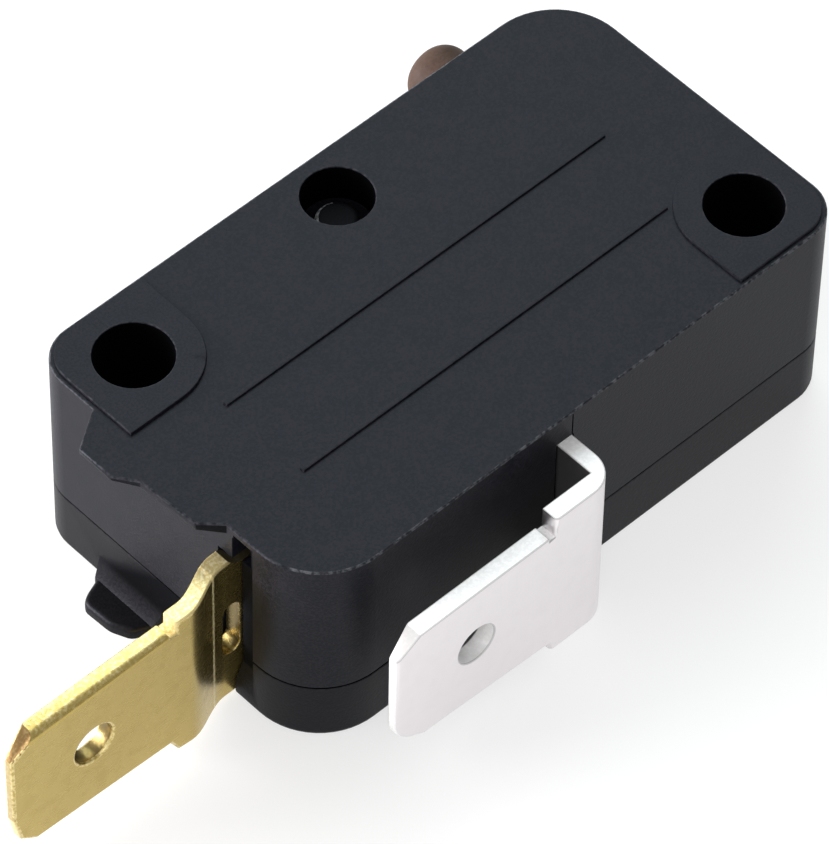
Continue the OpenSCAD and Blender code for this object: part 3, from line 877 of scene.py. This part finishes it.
    def on_tab(self, edge: Edge) -> bool:
        """Whether an edge is on the upper rim of the cover's end tab."""
        return middle(edge).x < -self.half_l - self.near and self.at_z(edge, self.tab_top)

    def on_tab_corner(self, edge: Edge) -> bool:
        """Whether an edge stands upright at a corner of the cover's end tab."""
        tall = abs(edge.verts[0].co.z - edge.verts[1].co.z) > self.tab_top - self.near
        return tall and max(vert.co.x for vert in edge.verts) < self.tab_x

    def in_post_room(self, spot: Vector) -> bool:
        """Whether a point is in the post's counterbore or on its rim."""
        reach = self.post_room_r + self.rim_reach
        return math.hypot(spot.x, spot.y - self.post_y) < reach and spot.z > self.post_low

    def at_hole(self, spot: Vector) -> bool:
        """Whether a point is in a mounting hole or on its rim."""
        reach = self.hole_r + self.rim_reach
        return any(math.hypot(spot.x - x, spot.y - y) < reach for x, y in self.holes)

    def at_button(self, edge: Edge) -> bool:
        """Whether an edge is on the mouth of the button's bore.

        Args:
            edge: An edge of the case.

        Returns:
            True on the mouth.
        """
        spot = middle(edge)
        return (
            spot.y > self.half_h - self.near
            and abs(spot.x - self.button_x) < self.button_reach
            and spot.z > self.button_low
        )

    def at_groove_foot(self, spot: Vector) -> bool:
        """Whether a corner is at the foot of the groove beside the brass blade."""
        low = abs(spot.z - self.groove_low) < self.near
        return low and abs(spot.x - self.groove_x) < self.near

    def in_shaded_bore(self, face: Face) -> bool:
        """Whether a face lines a mounting hole or the post's counterbore, where shade is painted.
        """
        inside = self.at_hole(centre(face)) or self.in_post_room(centre(face))
        return inside and abs(face.normal.z) < self.upright

    def on_post_highlight(self, face: Face) -> bool:
        """Whether a face is on the part of the post's rim that looks to the free corner, where a
        highlight is painted.

        Args:
            face: A face of the cover.

        Returns:
            True on that part.
        """
        normal = face.normal
        leaning = self.post_way[0] * normal.x + self.post_way[1] * normal.y
        return (
            self.in_post_room(centre(face))
            and ROUNDED[0] < normal.z < self.post_flat
            and leaning > self.post_lean * normal.xy.length
        )

    def on_post_end(self, face: Face) -> bool:
        """Whether a face is the end of the post, where shade is painted."""
        return self.in_post_room(centre(face)) and face.normal.z > self.post_flat

    def build_case(self) -> None:
        """Builds the case."""
        bench = Bench("case_moulding", "case")
        # Painted shade in the bores, the groove and the end lip's steps
        bench.mark_faces(Mark.SHADE_AND_SEAM, self.in_shaded_bore)
        bench.mark_faces(Mark.SHADE_AND_SEAM, self.groove, self.groove_shade)
        bench.mark_faces(Mark.SHADE_AND_SEAM, self.lip_step, self.step_shade)
        bench.round_edges(lambda e: self.at_z(e, self.rule_z), self.rule_edge)
        # Wear and painted highlight on the rims of the mounting holes
        bench.round_edges(
            lambda e: self.at_z(e, self.pad_z) and self.at_hole(middle(e)),
            self.pad_edge,
            wear_and_painted_light=self.hole_worn,
        )
        bench.round_edges(
            lambda e: self.at_z(e, self.pad_z) and not self.at_hole(middle(e)), self.pad_edge
        )
        # Wear and painted highlight on the counterbore's rim
        bench.round_edges(
            lambda e: self.at_z(e, self.face_z) and self.in_post_room(middle(e)),
            self.pad_edge,
            wear_and_painted_light=self.post_room_worn,
        )
        # Wear and painted highlight along the face's rim
        bench.round_edges(
            lambda e: self.at_z(e, self.face_z) and not self.in_post_room(middle(e)),
            self.face_edge,
            rings=3,
            wear_and_painted_light=self.face_worn,
        )
        # Wear and painted highlight on the lip's rim, a stronger painted highlight on its corner
        bench.mark_faces(Mark.RIM, self.lip_rim, self.lip_worn)
        bench.mark_faces(Mark.RIM, self.lip_corner, self.corner_highlight)
        bench.round_edges(self.on_lip, self.lip_edge)
        bench.round_edges(self.at_button, self.pad_edge)
        bench.round_edges(self.on_split, self.split_edge, shade_and_seam=1.0)
        bench.mark_faces(Mark.SHADE_AND_SEAM, self.tight_split, self.tight_split_deep)
        bench.done(Body.HOUSING, self.case_finish.material())

    def build_cover(self) -> None:
        """Builds the cover."""
        bench = Bench("cover_moulding", "cover")
        bench.shift(self.at_groove_foot, (0, 0, self.groove_ramp))
        for x, y, way in self.tab_shifts:
            bench.shift(lambda p: math.hypot(p.x - x, p.y - y) < self.near, way)
        # Painted shade in the bores and the groove
        bench.mark_faces(Mark.SHADE_AND_SEAM, self.in_shaded_bore)
        bench.mark_faces(Mark.SHADE_AND_SEAM, self.groove, self.groove_shade)
        bench.round_edges(self.on_tab_corner, self.tab_corner, least=self.tab_angle)
        # Faint wear and painted highlight on the parting line's rim
        bench.round_edges(self.on_split, self.split_edge, wear_and_painted_light=self.split_worn)
        bench.mark_faces(Mark.SHADE_AND_SEAM, self.seam)
        bench.mark_faces(Mark.SHADE_AND_SEAM, self.tight_seam, self.tight_seam_deep)
        bench.round_edges(
            lambda e: self.at_z(e, 0) and self.on_wall(e), self.back_edge, rings=3
        )
        bench.round_edges(self.on_tab, self.tab_edge, rings=3)
        bench.round_edges(lambda e: self.in_post_room(middle(e)), self.post_edge, rings=4)
        # Painted highlight on the post's rim toward the free corner, painted shade on its end
        bench.mark_faces(Mark.RIM, self.on_post_highlight)
        bench.mark_faces(Mark.SHADE_AND_SEAM, self.on_post_end, self.post_end_shade)
        bench.done(Body.HOUSING, self.cover_finish.material())

    def build(self) -> None:
        """Builds both mouldings."""
        self.build_case()
        self.build_cover()


@dataclass
class Terminals:
    """The brass end blade and the plated blade bent under the body, sizes in millimetres.

    Values named cut and raw are shares of the sheared and raw marks. Values named shade are shares
    of the painted shade mark, and values named worn are shares of the rim mark: a painted
    highlight on the brass, a painted dark line on the tin plate. Values named facing, flat, turn,
    level and side bound parts of a face's normal. A hole is given by its X, its Z and its reach.
    """

    # Places on the solids
    brass_root_x: float = -12.72
    plated_root_y: float = -6.77
    plated_notch_x: float = -4.5
    corner_l: float = 1.3
    notch_x: float = -17.75
    pocket_x: float = -14.1
    pocket_z: float = 7.5
    bend_x: float = -14.4
    blade_hole: Triple = (-21.6, 4.7, 1.1)
    plated_hole: Triple = (-8.0, 4.7, 1.1)
    slot: Triple = (-14.015, 4.2, 1.6)
    near: float = 0.02

    # Faces that get a mark: sheared and raw at the blades' ends, painted shade on the brass top
    # inside the case and inside the leg's bend
    brass_tip: Zone = Zone(x=(LOW, -25.55), normal_x=(LOW, -0.9))
    brass_break: Zone = Zone(x=(LOW, -24.27), normal_x=(LOW, -0.3), normal_z=(0.4, HIGH))
    plated_break: Zone = Zone(x=(LOW, -10.85), normal_x=(LOW, -0.3), normal_z=(0.4, HIGH))
    pocket_top: Zone = Zone(x=(-14.1, HIGH), z=(7.5, HIGH), normal_z=(0.6, HIGH))
    leg_face: Zone = Zone(x=(-1.52, -1.48), normal_x=(LOW, -0.9))

    # Widths of the roundings, and the smallest angles rounded
    blade_edge: float = 0.34
    front_edge: float = 0.12
    back_edge: float = 0.08
    slot_edge: float = 0.08
    plated_edge: float = 0.06
    plated_tip_edge: float = 0.2
    sharp: float = 50.0
    back_sharp: float = 60.0

    # Bounds on normals
    side: float = 0.6
    level: float = 0.1
    blade_flat: float = 0.99
    bend_flat: float = 0.8
    top_flat: float = 0.95
    wall_facing: float = -0.5
    tip_turn: Pair = (-0.25, 0.3)

    # Shares of the marks, the shade ones painting shade in the hole, the slot, the pocket and on
    # the leg
    round_cut: float = 0.4
    tip_cut: float = 0.6
    tip_raw: float = 0.45
    hole_cut: float = 0.4
    hole_raw: float = 0.8
    hole_shade: float = 0.6
    slot_cut: float = 0.3
    slot_shade: float = 0.1
    slot_wall_shade: float = 0.6
    pocket_shade: float = 0.9
    plated_hole_raw: float = 0.15
    leg_shade: float = 0.5
    back_worn: float = 0.8
    plated_worn: float = 0.8

    brass_finish: StampedFinish = StampedFinish(
        "rolled_brass",
        face=(0.475, 0.358, 0.109, 1),
        stain=(0.437, 0.324, 0.092, 1),
        cut=(0.64, 0.51, 0.22, 1),
        fleck=(0.84, 0.74, 0.44, 1),
        rim=(0.7, 0.57, 0.26, 1),
        raw=(0.19, 0.11, 0.035, 1),
        roughness=0.27,
        cut_roughness=0.42,
        cut_metal=0.6,
        rolling=(0.25, 1, 4),
        metal=0.95,
        crease_x=-15.05,
    )
    plated_finish: StampedFinish = StampedFinish(
        "dull_tin_plate",
        face=(0.835, 0.8, 0.815, 1),
        stain=(0.82, 0.785, 0.8, 1),
        cut=(0.88, 0.87, 0.87, 1),
        fleck=(0.96, 0.955, 0.955, 1),
        rim=(0.5, 0.49, 0.49, 1),
        raw=(0.6, 0.58, 0.57, 1),
        roughness=0.34,
        cut_roughness=0.5,
        cut_metal=0.1,
        rolling=(0.3, 1, 3),
        rim_breaks=(0.1, 0.3),
    )

    def on_front(self, edge: Edge) -> bool:
        """Whether an edge borders a blade's front face."""
        flat = self.bend_flat if middle(edge).x > self.notch_x else self.blade_flat
        return min(face.normal.y for face in edge.link_faces) < -flat

    def on_blade_top(self, edge: Edge) -> bool:
        """Whether an edge is the upper front edge of the brass blade before its notch.

        Args:
            edge: An edge of the brass blade.

        Returns:
            True on that edge.
        """
        return (
            middle(edge).x < self.notch_x
            and self.on_front(edge)
            and max(face.normal.z for face in edge.link_faces) > self.top_flat
            and edge.calc_length() > self.corner_l
        )

    def on_blade_round(self, face: Face) -> float:
        """Upward part of the normal on the top and rounded upper edge of the brass blade.

        Args:
            face: A face of the brass blade.

        Returns:
            The part, or 0 on any other face.
        """
        normal = face.normal
        past_notch = centre(face).x > self.notch_x
        if past_notch or abs(normal.x) > self.level or normal.y > self.level:
            return 0.0
        return max(0.0, normal.z)

    def on_side(self, face: Face) -> bool:
        """Whether a face is sheared, neither front nor back."""
        return abs(face.normal.y) < self.side

    def on_plated_side(self, face: Face) -> bool:
        """Whether a face is a sheared side of the plated blade."""
        on_blade = centre(face).x < self.plated_notch_x
        return abs(face.normal.z) > self.side or (on_blade and self.on_side(face))

    def in_pocket(self, spot: Vector) -> bool:
        """Whether a point is on the brass blade's top inside the case."""
        return spot.x > self.pocket_x and spot.z > self.pocket_z

    def at_hole(self, spot: Vector, hole: Triple) -> bool:
        """Whether a point is in a hole or on its rim."""
        x, z, reach = hole
        return math.hypot(spot.x - x, spot.z - z) < reach

    def in_hole(self, face: Face, hole: Triple) -> bool:
        """Whether a face lines a hole."""
        return self.on_side(face) and self.at_hole(centre(face), hole)

    def in_blade_hole(self, face: Face) -> bool:
        """Whether a face lines the brass blade's hole."""
        return self.in_hole(face, self.blade_hole)

    def in_slot(self, face: Face) -> bool:
        """Whether a face lines the brass blade's slot."""
        return self.in_hole(face, self.slot)

    def on_slot_wall(self, face: Face) -> bool:
        """Whether a face is on the slot's wall by the case."""
        return self.in_slot(face) and face.normal.x < self.wall_facing

    def on_slot_rim(self, edge: Edge) -> bool:
        """Whether an edge is on the slot's front rim, clear of the bend that crosses it."""
        on_bend = any(abs(vert.co.x - self.bend_x) < self.near for vert in edge.verts)
        return self.on_front(edge) and self.at_hole(middle(edge), self.slot) and not on_bend

    def on_open_brass(self, edge: Edge) -> bool:
        """Whether an edge is on the brass blade outside the case, clear of its slot."""
        closed = self.in_pocket(middle(edge)) or self.at_hole(middle(edge), self.slot)
        return not closed and middle(edge).x < self.brass_root_x

    def on_round_tip(self, edge: Edge) -> bool:
        """Whether an edge is on the front of the plated blade's end and its lower corner.

        Args:
            edge: An edge of the plated blade.

        Returns:
            True there, but not on the hole's rim.
        """
        sides = [face.normal for face in edge.link_faces if self.on_side(face)]
        turned = any(n.x < self.tip_turn[0] and n.z < self.tip_turn[1] for n in sides)
        at_hole = self.at_hole(middle(edge), self.plated_hole)
        return turned and self.on_front(edge) and not at_hole

    def build_brass(self) -> None:
        """Builds the end blade."""
        bench = Bench("end_blade", "no_terminal")
        bench.mark_faces(Mark.CUT, self.on_side)
        bench.mark_faces(Mark.RAW, self.brass_break)
        bench.mark_faces(Mark.CUT, self.brass_tip, self.tip_cut)
        bench.mark_faces(Mark.RAW, self.brass_tip, self.tip_raw)
        bench.mark_faces(Mark.CUT, self.in_blade_hole, self.hole_cut)
        bench.mark_faces(Mark.RAW, self.in_blade_hole, self.hole_raw)
        # Painted shade in the hole, the slot, on the slot's wall and on the top inside the case
        bench.mark_faces(Mark.SHADE_AND_SEAM, self.in_blade_hole, self.hole_shade)
        bench.mark_faces(Mark.CUT, self.in_slot, self.slot_cut)
        bench.mark_faces(Mark.SHADE_AND_SEAM, self.in_slot, self.slot_shade)
        bench.mark_faces(Mark.SHADE_AND_SEAM, self.on_slot_wall, self.slot_wall_shade)
        bench.mark_faces(Mark.SHADE_AND_SEAM, self.pocket_top, self.pocket_shade)
        bench.round_edges(self.on_blade_top, self.blade_edge, rings=4)
        bench.mark_faces(Mark.CUT, self.on_blade_round, self.round_cut)
        # Painted highlight along the rounded front edges and the slot's rim, fainter on the back
        # edges
        bench.round_edges(
            lambda e: self.on_open_brass(e) and self.on_front(e),
            self.front_edge,
            rings=3,
            least=self.sharp,
            wear_and_painted_light=1.0,
        )
        bench.round_edges(self.on_slot_rim, self.slot_edge, least=self.sharp, wear_and_painted_light=1.0)
        bench.round_edges(
            lambda e: self.on_open_brass(e) and not self.on_front(e),
            self.back_edge,
            least=self.back_sharp,
            wear_and_painted_light=self.back_worn,
        )
        bench.done(Body.HOUSING, self.brass_finish.material())

    def build_plated(self) -> None:
        """Builds the lower blade."""
        bench = Bench("lower_blade", "com_terminal")
        bench.mark_faces(Mark.CUT, self.on_plated_side)
        bench.mark_faces(Mark.RAW, self.plated_break)
        bench.mark_faces(
            Mark.RAW, lambda f: self.in_hole(f, self.plated_hole), self.plated_hole_raw
        )
        # Painted shade inside the leg's bend
        bench.mark_faces(Mark.SHADE_AND_SEAM, self.leg_face, self.leg_shade)
        bench.round_edges(self.on_round_tip, self.plated_tip_edge, rings=4, least=self.sharp)
        # Painted dark line of reflection along the rounded edges
        bench.round_edges(
            lambda e: middle(e).y < self.plated_root_y,
            self.plated_edge,
            least=self.sharp,
            wear_and_painted_light=self.plated_worn,
        )
        bench.done(Body.HOUSING, self.plated_finish.material())

    def build(self) -> None:
        """Builds both blades."""
        self.build_brass()
        self.build_plated()


@dataclass
class Button:
    """The brown plunger, sizes in millimetres."""

    flange_top: float = 6.7
    edge: float = 0.1
    sharp: float = 60.0
    near: float = 0.01

    finish: MouldedFinish = MouldedFinish(
        "brown_compound",
        colour=(0.06, 0.038, 0.028, 1),
        cloud=(0.072, 0.046, 0.035, 1),
        wear_and_painted_light=(0.14, 0.1, 0.08, 1),
        roughness=0.55,
        grain=0.12,
        depth=0.008,
        gloss=0.08,
    )

    def build(self) -> None:
        """Builds the plunger."""
        bench = Bench("push_button", "plunger", flatten=False)
        top = self.flange_top + self.near
        bench.round_edges(lambda e: middle(e).y <= top, self.edge, least=self.sharp)
        bench.done(Body.BUTTON, self.finish.material())


@dataclass
class Works:
    """The snap mechanism inside: the solids stay, and get their metals."""

    silver: WorksFinish = WorksFinish(
        "contact_silver", (0.72, 0.71, 0.68, 1), (0.4, 0.37, 0.31, 1), 0.3, (1, 1, 1)
    )
    bronze: WorksFinish = WorksFinish(
        "rolled_bronze", (0.56, 0.33, 0.16, 1), (0.36, 0.2, 0.1, 1), 0.32, (0.25, 1, 3)
    )
    steel: WorksFinish = WorksFinish(
        "stamped_steel", (0.55, 0.56, 0.58, 1), (0.38, 0.37, 0.36, 1), 0.34, (0.25, 1, 3)
    )
    wire: WorksFinish = WorksFinish(
        "spring_wire", (0.45, 0.46, 0.48, 1), (0.3, 0.3, 0.31, 1), 0.28, (1, 3, 3)
    )

    def dress(self) -> None:
        """Gives each inner node its metal."""
        silver = self.silver.material()
        chosen = {
            "fixed_contact": silver,
            "moving_contact": silver,
            "contact_arm": self.bronze.material(),
            "drive_lever": self.steel.material(),
            "snap_spring": self.wire.material(),
        }
        for node, material in chosen.items():
            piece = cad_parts[node]
            piece.material_slots[0].material = material
            LOG.info("%s: %s", node, material.name)


@dataclass(frozen=True)
class SoftBox:
    """One soft light.

    Attributes:
        name: Its name.
        place: Its middle, in metres.
        size: Its side lengths, in metres.
        glow: Brightness of its sheet.
        tint: Colour of its light.
    """

    name: str
    place: Triple
    size: Pair
    glow: float
    tint: Triple = (1, 1, 1)

    def hang(self, aim: Vector) -> None:
        """Hangs the light.

        Args:
            aim: The point that it faces.
        """
        data = bpy.data.lights.new(self.name, "AREA")
        data.shape = "RECTANGLE"
        data.size, data.size_y = self.size
        data.energy = self.glow * math.pi * self.size[0] * self.size[1]
        data.color = self.tint
        lamp = bpy.data.objects.new(self.name, data)
        lamp.location = self.place
        lamp.rotation_euler = (aim - Vector(self.place)).to_track_quat("-Z", "Y").to_euler()
        bpy.context.scene.collection.objects.link(lamp)


@dataclass
class Studio:
    """Floor, soft light and camera, in metres."""

    floor_side: float = 3.0
    floor_drop: float = 0.00001
    floor_colour: Colour = (0.36, 0.36, 0.36, 1)
    floor_roughness: float = 0.9
    floor_gloss: float = 0.1
    floor_light: Colour = (1, 1, 1, 1)
    floor_glow: float = 0.64
    sky: Colour = (1, 1, 1, 1)
    sky_glow: float = 0.5
    focus: Triple = (0, 0, 0.00515)
    right: Triple = (0.7263, -0.6872, 0.0177)
    up: Triple = (0.5250, 0.5711, 0.6311)
    back: Triple = (-0.4438, -0.4491, 0.7755)
    reach: float = 0.26759
    aim_right: float = -0.000963
    aim_up: float = -0.002217
    lens: float = 295.74
    sensor: float = 36.0
    clip: Pair = (0.01, 10.0)

    boxes: tuple[SoftBox, ...] = (
        SoftBox("left_box", (-0.27, 0.23, 0.16), (0.26, 0.26), 9.0),
        SoftBox("low_box", (-0.24, 0.24, 0.05), (0.22, 0.1), 25.0, (1, 0.94, 0.98)),
        SoftBox("back_box", (0.16, 0.2, 0.3), (0.24, 0.24), 3.9, (0.88, 1, 1)),
        SoftBox("front_box", (-0.2, -0.28, 0.24), (0.3, 0.3), 1.7),
    )

    def lay_floor(self) -> None:
        """Lays the plain pale floor."""
        bpy.ops.object.select_all(action="DESELECT")
        bpy.ops.mesh.primitive_plane_add(size=self.floor_side, location=(0, 0, -self.floor_drop))
        floor = bpy.context.active_object
        floor.name = "floor"
        bpy.ops.object.transform_apply(location=True, rotation=True, scale=True)
        recipe = Recipe("pale_floor")
        floor.data.materials.append(
            recipe.dress(
                {
                    "Base Color": self.floor_colour,
                    "Roughness": self.floor_roughness,
                    "Specular IOR Level": self.floor_gloss,
                    "Emission Color": self.floor_light,
                    "Emission Strength": self.floor_glow,
                }
            )
        )

    def light(self) -> None:
        """Lights the sky and hangs the soft boxes."""
        world = bpy.data.worlds.new("studio_sky")
        world.use_nodes = True
        sky = world.node_tree.nodes["Background"]
        sky.inputs["Color"].default_value = self.sky
        sky.inputs["Strength"].default_value = self.sky_glow
        bpy.context.scene.world = world
        for box in self.boxes:
            box.hang(Vector(self.focus))

    def set_camera(self) -> None:
        """Sets the camera at the photograph's angle."""
        focus = Vector(self.focus)
        eye = focus + Vector(self.back) * self.reach
        aim = focus + Vector(self.right) * self.aim_right + Vector(self.up) * self.aim_up
        back = (eye - aim).normalized()
        right = Vector(self.up).cross(back).normalized()
        turn = Matrix((right, back.cross(right), back)).transposed().to_4x4()
        data = bpy.data.cameras.new("photo_camera")
        data.lens = self.lens
        data.sensor_width = self.sensor
        data.clip_start, data.clip_end = self.clip
        camera = bpy.data.objects.new("photo_camera", data)
        camera.matrix_world = Matrix.Translation(eye) @ turn
        bpy.context.scene.collection.objects.link(camera)
        bpy.context.scene.camera = camera

    def build(self) -> None:
        """Builds the whole studio."""
        self.lay_floor()
        self.light()
        self.set_camera()
        bpy.context.scene.view_settings.view_transform = "Standard"


def main() -> None:
    """Builds the switch and its studio."""
    logging.basicConfig(level=logging.INFO, format="%(name)s: %(message)s")
    Studio().build()
    Housing().build()
    Terminals().build()
    Button().build()
    Works().dress()


if __name__ == "__main__":
    main()
